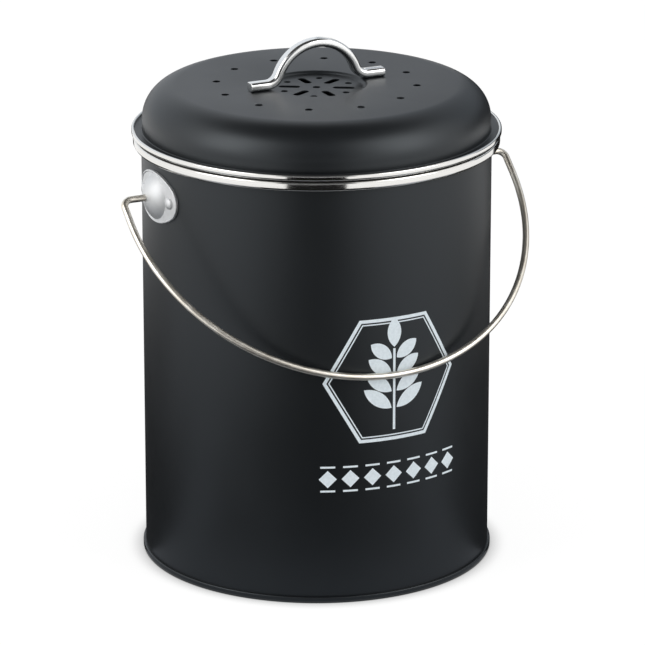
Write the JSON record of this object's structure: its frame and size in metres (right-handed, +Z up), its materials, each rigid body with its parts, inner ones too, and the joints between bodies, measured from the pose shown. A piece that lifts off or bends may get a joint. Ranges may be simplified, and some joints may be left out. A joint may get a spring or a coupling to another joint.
{
  "type": "compost caddy",
  "caption": "Free-standing round steel kitchen caddy with a bail in riveted ears and a vented lift-off lid that holds a charcoal filter.",
  "frame": {"origin": "centre of the bucket's foot, on the floor", "axes": "+Z up; X through the two ears and along the lid's handle; -Y is the front, where the bail hangs at rest"},
  "size_m": [0.221, 0.19, 0.2735],
  "materials": {
    "bucket_paint": "matte",
    "lid_paint": "satin",
    "rim_steel": "polished",
    "ear_steel": "satin",
    "wire_steel": "satin",
    "handle_steel": "satin",
    "seal_rubber": "matte",
    "skirt_paint": "satin",
    "fastener_zinc": "satin",
    "carbon_felt": "matte",
    "tray_plastic": "matte"
  },
  "bodies": {
    "bucket": {"bucket_wall": "bucket_paint", "rim_ring": "rim_steel", "base_pan": "bucket_paint", "ear_left": "ear_steel", "ear_right": "ear_steel", "ear_rivet_left_front": "ear_steel", "ear_rivet_left_rear": "ear_steel", "ear_rivet_right_front": "ear_steel", "ear_rivet_right_rear": "ear_steel"},
    "bail": {"bail": "wire_steel"},
    "lid": {"lid_shell": "lid_paint", "lid_hem": "rim_steel", "lid_seal": "seal_rubber", "lid_skirt": "skirt_paint", "lid_handle": "handle_steel", "handle_screw_left": "fastener_zinc", "handle_screw_right": "fastener_zinc", "handle_washer_left": "fastener_zinc", "handle_washer_right": "fastener_zinc"},
    "filter": {"charcoal_filter": "carbon_felt", "filter_tray": "tray_plastic"}
  },
  "joints": [
    {"name": "bail_swing", "type": "hinge", "parent": "bucket", "child": "bail", "pos_m": [0, 0, 0.2007], "axis": [-1, 0, 0], "range_deg": [0, 261.5]},
    {"name": "lid_lift", "type": "slide", "parent": "bucket", "child": "lid", "axis": [0, 0, 1], "range_m": [0, 0.15]},
    {"name": "filter_release", "type": "slide", "parent": "lid", "child": "filter", "axis": [0, 0, -1], "range_m": [0, 0.03]}
  ]
}
